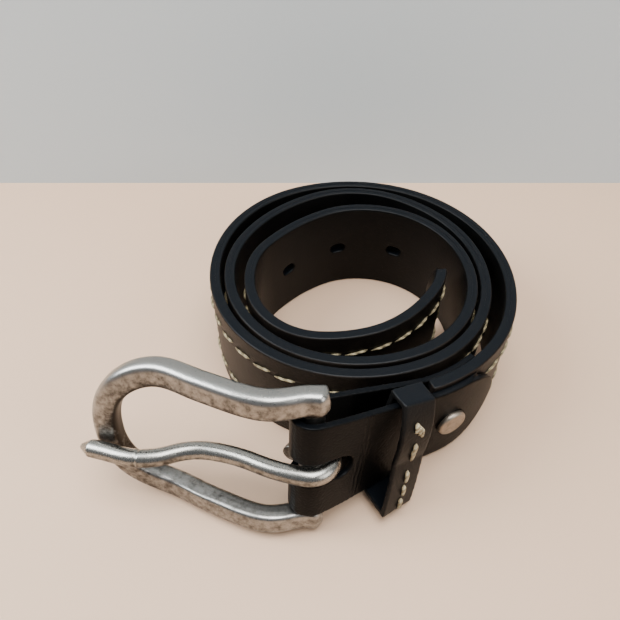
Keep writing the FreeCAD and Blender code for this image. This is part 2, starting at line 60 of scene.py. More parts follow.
# ---- bench tools -------------------------------------------------------------------------------
def only(piece: bpy.types.Object) -> None:
    """Selects one piece alone, in object mode.

    Args:
        piece: The object that the next operators act on.
    """
    if bpy.context.object and bpy.context.object.mode != "OBJECT":
        bpy.ops.object.mode_set(mode="OBJECT")
    bpy.ops.object.select_all(action="DESELECT")
    piece.select_set(True)
    bpy.context.view_layer.objects.active = piece


def apply_modifier(piece: bpy.types.Object, kind: str, **settings: object) -> None:
    """Adds a modifier with the given settings and applies it.

    Args:
        piece: The object to change.
        kind: The modifier's type.
        settings: Values for the modifier's own properties.
    """
    only(piece)
    modifier = piece.modifiers.new(kind.title(), kind)
    for name, value in settings.items():
        setattr(modifier, name, value)
    bpy.ops.object.modifier_apply(modifier=modifier.name)


def copy_of(node: str, name: str) -> bpy.types.Object:
    """Makes a closed, welded copy of a frame node, which then stands for it.

    Args:
        node: The frame node's name.
        name: The new piece's name.

    Returns:
        The new piece, with no material.
    """
    piece = bpy.data.objects.new(name, frame["nodes"][node].data.copy())
    bpy.context.scene.collection.objects.link(piece)
    piece.data.name = name
    piece.data.materials.clear()
    only(piece)
    bpy.ops.mesh.customdata_custom_splitnormals_clear()
    bpy.ops.object.mode_set(mode="EDIT")
    bpy.ops.mesh.select_all(action="SELECT")
    bpy.ops.mesh.remove_doubles(threshold=WELD)
    bpy.ops.object.mode_set(mode="OBJECT")
    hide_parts(node)
    return piece


def smooth(piece: bpy.types.Object, angle: float = 35.0) -> None:
    """Shades a piece smooth, except across edges sharper than an angle.

    Args:
        piece: The object to shade.
        angle: The sharpest smooth edge, in degrees.
    """
    only(piece)
    bpy.ops.object.shade_smooth_by_angle(angle=math.radians(angle))


def finish_piece(piece: bpy.types.Object, body: str, material: bpy.types.Material) -> None:
    """Gives a piece its material and joins it to the frame.

    Args:
        piece: The finished mesh.
        body: The frame body it rides on.
        material: The finish.
    """
    piece.data.materials.clear()
    piece.data.materials.append(material)
    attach(piece, body)
    log.info("%s: %d faces", piece.name, len(piece.data.polygons))


# ---- node tools --------------------------------------------------------------------------------
class Sheet:
    """A node tree with short ways to add and join nodes."""

    def __init__(self, tree: bpy.types.NodeTree) -> None:
        """Keeps the tree.

        Args:
            tree: A material's or a group's node tree.
        """
        self.tree = tree

    def add(self, kind: str, links: dict | None = None, **values: object) -> bpy.types.Node:
        """Adds a node, sets its properties and fills its sockets.

        Args:
            kind: The node's type name, without ShaderNode.
            links: Input socket, by name or number, to an output socket or a plain value.
            values: Properties of the node itself.

        Returns:
            The new node.
        """
        node = self.tree.nodes.new("ShaderNode" + kind)
        for name, value in values.items():
            setattr(node, name, value)
        for socket, source in (links or {}).items():
            self.set(node, socket, source)
        return node

    def set(self, node: bpy.types.Node, socket: str | int, source: object) -> None:
        """Links an output to an input, or sets the input's own value.

        Args:
            node: The node with the input.
            socket: The input's name or number.
            source: An output socket or a value.
        """
        if isinstance(source, bpy.types.NodeSocket):
            self.tree.links.new(source, node.inputs[socket])
        else:
            node.inputs[socket].default_value = source

    def math(self, operation: str, first: object, second: object = 0.0) -> bpy.types.NodeSocket:
        """Adds a math node.

        Args:
            operation: What it does.
            first: A number or an output.
            second: A number or an output.

        Returns:
            The result.
        """
        node = self.add("Math", {0: first, 1: second}, operation=operation)
        return node.outputs[0]

    def band(self, value: object, low: float, high: float) -> bpy.types.NodeSocket:
        """Adds a smooth step.

        Args:
            value: The number that is tested.
            low: Where the result is 0. It may be the larger of the two.
            high: Where the result is 1.

        Returns:
            The result.
        """
        node = self.add("MapRange", {0: value, 1: low, 2: high}, interpolation_type="SMOOTHSTEP")
        return node.outputs[0]

    def mix(self, factor: object, first: object, second: object) -> bpy.types.NodeSocket:
        """Mixes two colours.

        Args:
            factor: The share of the second.
            first: A colour or an output.
            second: A colour or an output.

        Returns:
            The mixed colour.
        """
        node = self.add("Mix", data_type="RGBA")
        self.set(node, 0, factor)
        self.set(node, COLOUR_A, first)
        self.set(node, COLOUR_B, second)
        return node.outputs[2]

    def group(self, tree: bpy.types.NodeTree, **inputs: object) -> bpy.types.Node:
        """Places a node group and fills its inputs.

        Args:
            tree: The group.
            inputs: Input name, with underscores for spaces, to a value or an output.

        Returns:
            The group node.
        """
        node = self.tree.nodes.new("ShaderNodeGroup")
        node.node_tree = tree
        for name, source in inputs.items():
            self.set(node, name.replace("_", " "), source)
        return node


def new_group(name: str, inputs: dict[str, float], outputs: tuple[str, ...]) -> tuple[Sheet, dict, dict]:
    """Starts a node group with a Vector input and number inputs.

    Args:
        name: The group's name.
        inputs: Number inputs and their usual values.
        outputs: Names of the number outputs.

    Returns:
        The sheet, its input sockets by name and its output sockets by name.
    """
    tree = bpy.data.node_groups.new(name, "ShaderNodeTree")
    tree.interface.new_socket("Vector", in_out="INPUT", socket_type="NodeSocketVector")
    for label, usual in inputs.items():
        socket = tree.interface.new_socket(label, in_out="INPUT", socket_type="NodeSocketFloat")
        socket.default_value = usual
    for label in outputs:
        tree.interface.new_socket(label, in_out="OUTPUT", socket_type="NodeSocketFloat")
    start = tree.nodes.new("NodeGroupInput")
    end = tree.nodes.new("NodeGroupOutput")
    return Sheet(tree), {s.name: s for s in start.outputs}, {s.name: s for s in end.inputs}


def leather_grain_group() -> bpy.types.NodeTree:
    """Builds the grain of hide: small rounded cells, pores and slow unevenness.

    Returns:
        A group with Height, Pores and Cloud outputs.
    """
    inputs = {"Scale": 1400.0, "Wrinkle": 0.5}
    upright_stretch, pore_starts, pore_full, pore_depth = 0.22, 0.42, 0.75, 0.35
    sheet, start, end = new_group("leather grain", inputs, ("Height", "Pores", "Cloud"))
    where = start["Vector"]
    cells = sheet.add("TexVoronoi", {"Vector": where, "Scale": start["Scale"]}, feature="SMOOTH_F1")
    cells.inputs["Smoothness"].default_value = 0.6
    upright = sheet.add("Mapping", {"Vector": where, "Scale": (1.0, 1.0, upright_stretch)}).outputs[0]
    folds = sheet.add("TexNoise", {"Vector": upright, "Scale": 420.0, "Detail": 6.0, "Roughness": 0.62})
    wide = sheet.add("TexNoise", {"Vector": where, "Scale": 45.0, "Detail": 3.0})
    pores = sheet.band(cells.outputs["Distance"], pore_starts, pore_full)
    wrinkle = sheet.math("MULTIPLY", folds.outputs[0], start["Wrinkle"])
    height = sheet.math("SUBTRACT", wrinkle, sheet.math("MULTIPLY", pores, pore_depth))
    sheet.tree.links.new(height, end["Height"])
    sheet.tree.links.new(pores, end["Pores"])
    sheet.tree.links.new(wide.outputs[0], end["Cloud"])
    return sheet.tree


def patina_group() -> bpy.types.NodeTree:
    """Builds the wear of antique plating: fine brushing, pits and dark cloudy stain.

    Returns:
        A group with Height, Stain and Brush outputs.
    """
    inputs = {"Scale": 420.0, "Pitting": 0.8}
    pit_starts, pit_full, cluster_starts, cluster_full, brush_height = 0.26, 0.08, 0.45, 0.62, 0.25
    sheet, start, end = new_group("plating patina", inputs, ("Height", "Stain", "Brush"))
    where = start["Vector"]
    stain = sheet.add("TexNoise", {"Vector": where, "Scale": start["Scale"], "Detail": 8.0,
                                   "Roughness": 0.66})
    brush = sheet.add("TexNoise", {"Vector": where, "Scale": 2600.0, "Detail": 3.0})
    pits = sheet.add("TexVoronoi", {"Vector": where, "Scale": 1500.0})
    pit = sheet.band(pits.outputs["Distance"], pit_starts, pit_full)
    pit = sheet.math("MULTIPLY", pit, start["Pitting"])
    cluster = sheet.band(stain.outputs[0], cluster_starts, cluster_full)
    clustered = sheet.math("MULTIPLY", pit, cluster)
    brushed = sheet.math("MULTIPLY", brush.outputs[0], brush_height)
    height = sheet.math("SUBTRACT", brushed, clustered)
    sheet.tree.links.new(height, end["Height"])
    sheet.tree.links.new(stain.outputs[0], end["Stain"])
    sheet.tree.links.new(brush.outputs[0], end["Brush"])
    return sheet.tree


GRAIN = leather_grain_group()
PATINA = patina_group()


def start_material(name: str) -> tuple[Sheet, bpy.types.Node]:
    """Makes an empty material with a shader.

    Args:
        name: The material's name.

    Returns:
        Its sheet and its shader node.
    """
    material = bpy.data.materials.new(name)
    material.use_nodes = True
    sheet = Sheet(material.node_tree)
    return sheet, material.node_tree.nodes["Principled BSDF"]


# ---- finishes ----------------------------------------------------------------------------------
@dataclass(frozen=True)
class LeatherFinish:
    """A dyed leather: its colours, gloss, grain and what is pressed into it."""

    name: str
    colour: tuple[float, float, float]
    cloud_colour: tuple[float, float, float]
    rim_colour: tuple[float, float, float]
    roughness: float
    rim_roughness: float
    grain_depth: float
    wrinkle: float
    stitch_lines: tuple[float, ...] = ()
    crease_origin: tuple[float, float, float] = (0.0, 0.0, 0.0)
    crease_along: tuple[float, float, float] = (0.0, 0.0, 0.0)
    crease_span: tuple[float, float] = (0.0, 0.0)
    dents: tuple[tuple[float, float, float, float], ...] = ()
    gloss: float = 0.11
    painted_shade_past_crease: float = 0.0
    rim_band: tuple[float, float] = (0.72, 0.92)
    rim_smoothing: float = 0.8
    cloud_band: tuple[float, float] = (0.38, 0.66)
    pore_shade: float = 0.35
    pore_colour: tuple[float, ...] = (0.004, 0.004, 0.004, 1.0)
    groove_band: tuple[float, float] = (1.25 * MM, 0.55 * MM)
    groove_depth: float = 1.4
    groove_shade: float = 0.4
    groove_colour: tuple[float, ...] = (0.003, 0.003, 0.003, 1.0)
    dent_edge: float = 0.86
    dent_depth: float = 2.2
    dent_shade: float = 0.8
    dent_colour: tuple[float, ...] = (0.002, 0.002, 0.002, 1.0)
    past_crease_shade_colour: tuple[float, ...] = (0.0008, 0.0008, 0.0009, 1.0)
    dulling: float = 0.22
    polish: float = 0.1
    crease_scale: float = 90.0
    crease_wander: float = 3.2 * MM
    crease_pitch: float = 1.7 * MM
    crease_fade: float = 1.5 * MM
    crease_height: float = 0.9

    def material(self) -> bpy.types.Material:
        """Builds the material.

        Returns:
            The leather.
        """
        sheet, shader = start_material(self.name)
        where = sheet.add("TexCoord").outputs["Object"]
        side = sheet.add("SeparateXYZ", {0: sheet.add("TexCoord").outputs["Normal"]})
        grain = sheet.group(GRAIN, Vector=where, Wrinkle=self.wrinkle)
        rim = sheet.band(sheet.math("ABSOLUTE", side.outputs[2]), *self.rim_band)
        cloud = sheet.band(grain.outputs["Cloud"], *self.cloud_band)
        colour = sheet.mix(cloud, (*self.colour, 1.0), (*self.cloud_colour, 1.0))
        pores = sheet.math("MULTIPLY", grain.outputs["Pores"], self.pore_shade)
        colour = sheet.mix(pores, colour, self.pore_colour)
        height = grain.outputs["Height"]
        rise = sheet.add("SeparateXYZ", {0: where}).outputs[2]
        for line in self.stitch_lines:
            apart = sheet.math("ABSOLUTE", sheet.math("SUBTRACT", rise, line))
            groove = sheet.math("MULTIPLY", sheet.band(apart, *self.groove_band), self.groove_depth)
            height = sheet.math("SUBTRACT", height, groove)
            shade = sheet.math("MULTIPLY", groove, self.groove_shade)
            colour = sheet.mix(shade, colour, self.groove_colour)
        for *point, radius in self.dents:
            apart = sheet.add("VectorMath", {0: where, 1: tuple(point)}, operation="DISTANCE")
            inside = sheet.band(apart.outputs["Value"], radius, radius * self.dent_edge)
            dent = sheet.math("MULTIPLY", inside, self.dent_depth)
            height = sheet.math("SUBTRACT", height, dent)
            shade = sheet.math("MULTIPLY", inside, self.dent_shade)
            colour = sheet.mix(shade, colour, self.dent_colour)
        if self.crease_span[1] > self.crease_span[0]:
            height = sheet.math("ADD", height, self.creases(sheet, where))
            # Painted shade: past the crease the tab's colour is darkened, standing for the shade where the
            # bent leather turns away from the light.
            past = sheet.band(self.along_crease(sheet, where), self.crease_span[0], self.crease_span[1])
            shade = sheet.math("MULTIPLY", past, self.painted_shade_past_crease)
            colour = sheet.mix(shade, colour, self.past_crease_shade_colour)
        colour = sheet.mix(rim, colour, (*self.rim_colour, 1.0))
        gloss = sheet.math("MULTIPLY_ADD", grain.outputs["Cloud"], self.dulling)
        gloss.node.inputs[2].default_value = self.roughness - self.polish
        rough = sheet.add("Mix", {0: rim, 2: gloss, 3: self.rim_roughness})
        kept = sheet.math("SUBTRACT", 1.0, sheet.math("MULTIPLY", rim, self.rim_smoothing))
        flat = sheet.math("MULTIPLY", height, kept)
        bump = sheet.add("Bump", {"Height": flat, "Distance": self.grain_depth, "Strength": 1.0})
        sheet.set(shader, "Base Color", colour)
        sheet.set(shader, "Roughness", rough.outputs[0])
        sheet.set(shader, "Normal", bump.outputs[0])
        sheet.set(shader, "Specular IOR Level", self.gloss)
        return bpy.data.materials[self.name]

    def along_crease(self, sheet: Sheet, where: bpy.types.NodeSocket) -> bpy.types.NodeSocket:
        """Measures how far a point lies from the fold, along the leather.

        Args:
            sheet: The material's sheet.
            where: Object coordinates.

        Returns:
            The distance.
        """
        apart = sheet.add("VectorMath", {0: where, 1: self.crease_origin}, operation="SUBTRACT").outputs[0]
        dot = sheet.add("VectorMath", {0: apart, 1: self.crease_along}, operation="DOT_PRODUCT")
        return dot.outputs["Value"]

    def creases(self, sheet: Sheet, where: bpy.types.NodeSocket) -> bpy.types.NodeSocket:
        """Draws soft folds across the leather over one stretch of it.

        Args:
            sheet: The material's sheet.
            where: Object coordinates.

        Returns:
            The folds' height.
        """
        dot = self.along_crease(sheet, where)
        wander = sheet.add("TexNoise", {"Vector": where, "Scale": self.crease_scale, "Detail": 2.0})
        place = sheet.math("ADD", dot, sheet.math("MULTIPLY", wander.outputs[0], self.crease_wander))
        waves = sheet.math("SINE", sheet.math("MULTIPLY", place, 2 * math.pi / self.crease_pitch))
        low, high = self.crease_span
        fade_in = sheet.band(dot, low - self.crease_fade, low + self.crease_fade)
        fade_out = sheet.band(dot, high + self.crease_fade, high - self.crease_fade)
        shown = sheet.math("MULTIPLY", fade_in, fade_out)
        return sheet.math("MULTIPLY", sheet.math("MULTIPLY", waves, self.crease_height), shown)


@dataclass(frozen=True)
class ThreadFinish:
    """Waxed, twisted sewing thread."""

    name: str
    colour: tuple[float, float, float]
    shade: tuple[float, float, float]
    plies: float = 5.0
    turns_round: float = 2.0
    dirt_band: tuple[float, float] = (0.42, 0.68)
    hollow_band: tuple[float, float] = (0.2, -0.9)
    hollow_shade: float = 0.6
    dirt_shade: float = 0.7
    fibre_height: float = 0.8
    depth: float = 0.16 * MM
    roughness: float = 0.72

    def material(self) -> bpy.types.Material:
        """Builds the material. The twist follows the thread's own UV map.

        Returns:
            The thread.
        """
        sheet, shader = start_material(self.name)
        uv = sheet.add("SeparateXYZ", {0: sheet.add("TexCoord").outputs["UV"]})
        where = sheet.add("TexCoord").outputs["Object"]
        around = sheet.math("MULTIPLY", uv.outputs[0], self.turns_round)
        turn = sheet.math("ADD", around, sheet.math("MULTIPLY", uv.outputs[1], self.plies))
        twist = sheet.math("SINE", sheet.math("MULTIPLY", turn, 2 * math.pi))
        fibre = sheet.add("TexNoise", {"Vector": where, "Scale": 2400.0, "Detail": 4.0}).outputs[0]
        grime = sheet.add("TexNoise", {"Vector": where, "Scale": 190.0, "Detail": 3.0}).outputs[0]
        dirt = sheet.band(grime, *self.dirt_band)
        # Painted shade: the twist's hollows between the plies are darkened. It is then mixed with the real
        # grime noise.
        painted_shading = sheet.band(twist, *self.hollow_band)
        painted_shading = sheet.math("MULTIPLY", painted_shading, self.hollow_shade)
        shade = sheet.math("MAXIMUM", painted_shading, sheet.math("MULTIPLY", dirt, self.dirt_shade))
        colour = sheet.mix(shade, (*self.colour, 1.0), (*self.shade, 1.0))
        height = sheet.math("ADD", twist, sheet.math("MULTIPLY", fibre, self.fibre_height))
        bump = sheet.add("Bump", {"Height": height, "Distance": self.depth, "Strength": 1.0})
        sheet.set(shader, "Base Color", colour)
        sheet.set(shader, "Roughness", self.roughness)
        sheet.set(shader, "Normal", bump.outputs[0])
        return bpy.data.materials[self.name]


@dataclass(frozen=True)
class PlatingFinish:
    """Antique plating: a cloudy stain from noise, plus painted shade on faces turned down and on faces
    turned towards the piece's middle.
    """

    name: str
    bright: tuple[float, float, float]
    stain: tuple[float, float, float]
    roughness: float
    stain_and_shade_roughness: float
    stain_and_shade_low: float
    stain_and_shade_high: float
    inner_point: tuple[float, float, float]
    underside_painted_shade: float = -0.42
    inward_painted_shade: float = 0.2
    brushed_gloss: float = 0.16
    depth: float = 0.05 * MM
    relief: float = 0.7

    def material(self) -> bpy.types.Material:
        """Builds the material. Faces that look down, and faces that look towards the piece's middle, are
        painted darker as shade.

        Returns:
            The plating.
        """
        sheet, shader = start_material(self.name)
        where = sheet.add("TexCoord").outputs["Object"]
        normal = sheet.add("TexCoord").outputs["Normal"]
        patina = sheet.group(PATINA, Vector=where)
        inward = sheet.add("VectorMath", {0: self.inner_point, 1: where}, operation="SUBTRACT").outputs[0]
        inward = sheet.add("VectorMath", {0: inward}, operation="NORMALIZE").outputs[0]
        facing = sheet.add("VectorMath", {0: inward, 1: normal}, operation="DOT_PRODUCT").outputs["Value"]
        rise = sheet.add("SeparateXYZ", {0: normal}).outputs[2]
        # Painted shade: faces turned down and faces turned towards the piece's middle are pushed towards the
        # dark stain colour, which also serves the real noise stain.
        down = sheet.math("MULTIPLY", rise, self.underside_painted_shade)
        painted_shading = sheet.math("ADD", sheet.math("MULTIPLY", facing, self.inward_painted_shade), down)
        level = sheet.math("ADD", patina.outputs["Stain"], painted_shading)
        stain_and_shade_mask = sheet.band(level, self.stain_and_shade_low, self.stain_and_shade_high)
        colour = sheet.mix(stain_and_shade_mask, (*self.bright, 1.0), (*self.stain, 1.0))
        rough = sheet.add("Mix", {0: stain_and_shade_mask, 2: self.roughness, 3: self.stain_and_shade_roughness})
        varied = sheet.math("MULTIPLY_ADD", patina.outputs["Brush"], self.brushed_gloss)
        sheet.set(varied.node, 2, rough.outputs[0])
        bump = sheet.add("Bump", {"Height": patina.outputs["Height"], "Distance": self.depth,
                                  "Strength": self.relief})
        sheet.set(shader, "Base Color", colour)
        sheet.set(shader, "Metallic", 1.0)
        sheet.set(shader, "Roughness", varied)
        sheet.set(shader, "Normal", bump.outputs[0])
        return bpy.data.materials[self.name]


# ---- sewing ------------------------------------------------------------------------------------
class Stitching(Enum):
    """How a stitch lies, by its slant in degrees: a long strand, or a short link of the keeper's row."""

    STRAND = 7
    LINK = 4


@dataclass
class Seam:
    """A row of twisted stitches that takes the places of a frame node's bars."""

    node: str
    name: str
    kind: Stitching
    away_from: Vector
    seed: int
    sides: int = 8
    rings: int = 6
    slim: float = 0.62
    stretch: float = 1.12
    plump: float = 0.72
    end_power: float = 4.5
    end_size: float = 0.2
    middle_size: float = 0.8
    twist: float = 1.3
    lobe: float = 0.16
    end_dip: float = 0.32
    dip_power: int = 3
    corners: int = 8
    same_point: float = 0.003 * MM
    square: float = 0.02
    slant_spread: float = 0.06
    length_spread: tuple[float, float] = (0.96, 1.04)
    width_spread: tuple[float, float] = (0.9, 1.08)
    sink: float = 0.12
    smooth_angle: float = 60

    def strand(self) -> bpy.types.Mesh:
        """Models one stitch of unit size, along X, with Z out of the leather.

        Returns:
            The stitch's mesh.
        """
        if bpy.context.object and bpy.context.object.mode != "OBJECT":
            bpy.ops.object.mode_set(mode="OBJECT")
        bpy.ops.object.select_all(action="DESELECT")
        bpy.ops.mesh.primitive_cylinder_add(vertices=self.sides, radius=0.5, depth=1.0, end_fill_type="NGON",
                                            calc_uvs=True)
        piece = bpy.context.object
        piece.name = self.name + "_one"
        bpy.ops.object.mode_set(mode="EDIT")
        for ring in range(1, self.rings):
            bpy.ops.mesh.select_all(action="SELECT")
            bpy.ops.mesh.bisect(plane_co=(0, 0, ring / self.rings - 0.5), plane_no=(0, 0, 1))
        bpy.ops.object.mode_set(mode="OBJECT")
        for vertex in piece.data.vertices:
            along = vertex.co.z * 2
            ring_size = math.sqrt(max(1 - abs(along) ** self.end_power, 0.0))
            ring_size = ring_size * self.middle_size + self.end_size
            around = math.atan2(vertex.co.y, vertex.co.x) + along * self.twist
            lobes = 1 + self.lobe * math.cos(2 * around)
            out = vertex.co.x * ring_size * lobes - self.end_dip * abs(along) ** self.dip_power
            vertex.co = Vector((vertex.co.z, vertex.co.y * ring_size * lobes, out))
        mesh = piece.data.copy()
        bpy.data.objects.remove(piece)
        return mesh

    @staticmethod
    def first_corner(parent: list[int], corner: int) -> int:
        """Finds the corner that stands for a whole bar.

        Args:
            parent: For each corner, one nearer to the bar's first.
            corner: Any corner of the bar.

        Returns:
            The bar's first corner.
        """
        while parent[corner] != corner:
            parent[corner] = parent[parent[corner]]
            corner = parent[corner]
        return corner

    def bars(self) -> list[tuple[Vector, Vector, Vector, Vector]]:
        """Reads the bars of the frame node.

        Returns:
            For each bar its middle, its long direction, its way out and its three sizes.
        """
        source = frame["nodes"][self.node].data
        corners: dict[tuple, int] = {}
        points: list[Vector] = []
        where: list[int] = []
        for vertex in source.vertices:
            key = tuple(round(c / self.same_point) for c in vertex.co)
            if key not in corners:
                corners[key] = len(points)
                points.append(vertex.co.copy())
            where.append(corners[key])
        parent = list(range(len(points)))
        for face in source.polygons:
            ring = [self.first_corner(parent, where[v]) for v in face.vertices]
            for other in ring[1:]:
                parent[self.first_corner(parent, other)] = self.first_corner(parent, ring[0])
        groups: dict[int, list[Vector]] = {}
        for i, point in enumerate(points):
            groups.setdefault(self.first_corner(parent, i), []).append(point)
        found = []
        for group in groups.values():
            if len(group) != self.corners:
                continue
            first = group[0]
            steps = sorted((p - first for p in group[1:]), key=lambda step: step.length)
            thin, broad = steps[0], steps[1]
            sides = (thin.normalized(), broad.normalized())
            long = next(s for s in steps[2:] if all(abs(s.normalized().dot(n)) < self.square for n in sides))
            middle = sum(group, Vector()) / self.corners
            out = thin.normalized()
            if out.dot(middle - self.away_from) < 0:
                out = -out
            found.append((middle, long.normalized(), out, Vector((long.length, broad.length, thin.length))))
        return found

    def sew(self) -> bpy.types.Object:
        """Copies the stitch to every bar and joins the copies.

        Returns:
            The row, as one piece that stands for the node.
        """
        model = self.strand()
        chance = random.Random(self.seed)
        parts = []
        for middle, along, out, sizes in self.bars():
            across = out.cross(along)
            slant = math.radians(self.kind.value)
            turn = Matrix.Rotation(slant + chance.uniform(-self.slant_spread, self.slant_spread), 3, out)
            turned = turn @ Matrix((along, across, out)).transposed()
            shape = (sizes.x * self.stretch * chance.uniform(*self.length_spread),
                     sizes.y * self.slim * chance.uniform(*self.width_spread),
                     sizes.z * self.plump * 2)
            place = Matrix.Translation(middle - out * sizes.z * self.sink) @ turned.to_4x4()
            mesh = model.copy()
            mesh.transform(place @ Matrix.Diagonal((*shape, 1.0)))
            part = bpy.data.objects.new(self.name, mesh)
            bpy.context.scene.collection.objects.link(part)
            parts.append(part)
        bpy.ops.object.select_all(action="DESELECT")
        for part in parts:
            part.select_set(True)
        bpy.context.view_layer.objects.active = parts[0]
        bpy.ops.object.join()
        row = bpy.context.object
        row.name = self.name
        smooth(row, self.smooth_angle)
        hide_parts(self.node)
        return row


# ---- the belt's sub-assemblies -----------------------------------------------------------------
@dataclass
class Strap:
    """The rolled strap: its face, its lining and its two rows of stitches."""

    edge_round: float = 0.7 * MM
    sharp_edge: float = 50.0
    stitch_inset: float = 7.8 * MM
    joint_side: float = -0.7
    flat_angle: float = 0.3
    first_seed: int = 11
    thread: ThreadFinish = ThreadFinish("strap thread", (0.36, 0.3, 0.175), (0.1, 0.075, 0.04))

    def weigh_edges(self, piece: bpy.types.Object, side: float) -> None:
        """Marks for rounding the sharp edges that don't lie on the joint between the two layers.

        Args:
            piece: The layer.
            side: 1 where the outer wall shows, -1 where the inner one does.
        """
        mesh = piece.data
        centre = coil_middle()
        sharp = math.radians(self.sharp_edge)
        touching: dict[tuple[int, int], list[bpy.types.MeshPolygon]] = {}
        for face in mesh.polygons:
            for key in face.edge_keys:
                touching.setdefault(key, []).append(face)
        weights = mesh.attributes.new("bevel_weight_edge", "FLOAT", "EDGE")
        for edge in mesh.edges:
            faces = touching.get(tuple(sorted(edge.vertices)), [])
            if len(faces) != 2 or faces[0].normal.angle(faces[1].normal, 0.0) < sharp:
                continue
            middle = (mesh.vertices[edge.vertices[0]].co + mesh.vertices[edge.vertices[1]].co) / 2
            outward = Vector((middle.x - centre.x, middle.y - centre.y, 0.0)).normalized()
            walls = [face.normal.dot(outward) * side for face in faces]
            weights.data[edge.index].value = 0.0 if min(walls) < self.joint_side else 1.0

    def layer(self, node: str, name: str, side: float) -> bpy.types.Object:
        """Copies one layer of the strap and rounds the edges that show.

        Args:
            node: The frame node.
            name: The piece's name.
            side: 1 where its outer wall shows, -1 where its inner one does.

        Returns:
            The layer.
        """
        piece = copy_of(node, name)
        bpy.ops.object.mode_set(mode="EDIT")
        bpy.ops.mesh.select_all(action="SELECT")
        bpy.ops.mesh.dissolve_limited(angle_limit=math.radians(self.flat_angle))
        bpy.ops.object.mode_set(mode="OBJECT")
        self.weigh_edges(piece, side)
        apply_modifier(piece, "BEVEL", width=self.edge_round, segments=3, limit_method="WEIGHT",
                       use_clamp_overlap=False)
        smooth(piece, EDGE_ANGLE)
        apply_modifier(piece, "WEIGHTED_NORMAL", keep_sharp=True)
        return piece

    def build(self) -> None:
        """Builds and dresses the strap."""
        low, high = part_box("strap_face")
        rows = (low.z + self.stitch_inset, high.z - self.stitch_inset)
        face = LeatherFinish("strap leather", (0.005, 0.0037, 0.003), (0.013, 0.0098, 0.0076),
                             (0.0026, 0.0036, 0.0052), roughness=0.44, rim_roughness=0.32,
                             grain_depth=0.09 * MM, wrinkle=0.9, stitch_lines=rows)
        lining = LeatherFinish("lining leather", (0.0012, 0.0013, 0.0015), (0.0028, 0.0028, 0.0029),
                               (0.0026, 0.0036, 0.0052), roughness=0.42, rim_roughness=0.34,
                               grain_depth=0.05 * MM, wrinkle=0.5)
        outside = self.layer("strap_face", "strap_outside", 1.0)
        finish_piece(outside, "strap", face.material())
        inside = self.layer("strap_lining", "strap_inside", -1.0)
        finish_piece(inside, "strap", lining.material())
        centre = (low + high) / 2
        thread = self.thread.material()
        for number, node in enumerate(("upper_stitch_row", "lower_stitch_row")):
            inner = Vector((coil_middle().x, coil_middle().y, centre.z))
            seam = Seam(node, node + "_thread", Stitching.STRAND, inner, self.first_seed + number)
            finish_piece(seam.sew(), "strap", thread)


def coil_middle() -> Vector:
    """Returns the middle of the rolled strap's hollow, from the record's opening."""
    for opening in frame["record"]["physics"]["openings"]:
        if opening["name"] == "coil_hollow":
            low, high = (Vector(corner) for corner in opening["box_m"])
            return (low + high) / 2
    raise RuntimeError("the record has no opening coil_hollow")


def joint(name: str) -> dict:
    """Returns a joint of the record.

    Args:
        name: The joint's name.
    """
    return next(j for j in frame["record"]["behaviour"]["joints"] if j["name"] == name)


def remeshed(piece: bpy.types.Object, voxel: float, rounds: int, factor: float = 0.5) -> None:
    """Turns a piece into an even skin of small squares and relaxes it.

    Args:
        piece: The object to change.
        voxel: The size of a square.
        rounds: How many times it is relaxed.
        factor: How far each time.
    """
    apply_modifier(piece, "REMESH", mode="VOXEL", voxel_size=voxel, use_smooth_shade=True)
    if rounds:
        apply_modifier(piece, "SMOOTH", iterations=rounds, factor=factor)
    smooth(piece, REMESHED_ANGLE)


@dataclass
class BuckleTab:
    """The folded leather that holds the bar, and its rivet."""

    voxel: float = 0.45 * MM
    relaxing: int = 3
    rivet_dent: float = 6.0 * MM
    crease_span: tuple[float, float] = (12.0 * MM, 15.5 * MM)
    rivet_edge: float = 0.15 * MM
    rivet_sharp: float = 50

    def build(self) -> None:
        """Builds and dresses the tab and the rivet."""
        bar = Vector(joint("buckle_swing")["pos_m"])
        back = -Vector(joint("keeper_slide")["axis"])
        low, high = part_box("rivet_cap")
        dent = (*((low + high) / 2), self.rivet_dent)
        # The tab leather gets painted shade past the crease, towards the keeper.
        leather = LeatherFinish("tab leather", (0.0022, 0.0021, 0.0021), (0.005, 0.0046, 0.0043),
                                (0.0026, 0.0032, 0.0042), roughness=0.4, rim_roughness=0.34,
                                grain_depth=0.1 * MM, wrinkle=0.6, crease_origin=tuple(bar),
                                crease_along=tuple(back), crease_span=self.crease_span, dents=(dent,),
                                gloss=0.06, painted_shade_past_crease=0.85)
        tab = copy_of("buckle_tab", "buckle_tab_leather")
        remeshed(tab, self.voxel, self.relaxing)
        finish_piece(tab, "strap", leather.material())
        self.rivet()

    def rivet(self) -> None:
        """Builds the rivet's cap and stud."""
        low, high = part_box("rivet_cap")
        metal = PlatingFinish("rivet plating", (0.3, 0.26, 0.215), (0.07, 0.052, 0.038), roughness=0.36,
                              stain_and_shade_roughness=0.6, stain_and_shade_low=0.3, stain_and_shade_high=0.85,
                              inner_point=tuple((low + high) / 2)).material()
        for node in ("rivet_cap", "rivet_stud"):
            piece = copy_of(node, node + "_metal")
            apply_modifier(piece, "BEVEL", width=self.rivet_edge, segments=2, limit_method="ANGLE",
                           angle_limit=math.radians(self.rivet_sharp), use_clamp_overlap=True)
            smooth(piece, EDGE_ANGLE)
            finish_piece(piece, "strap", metal)


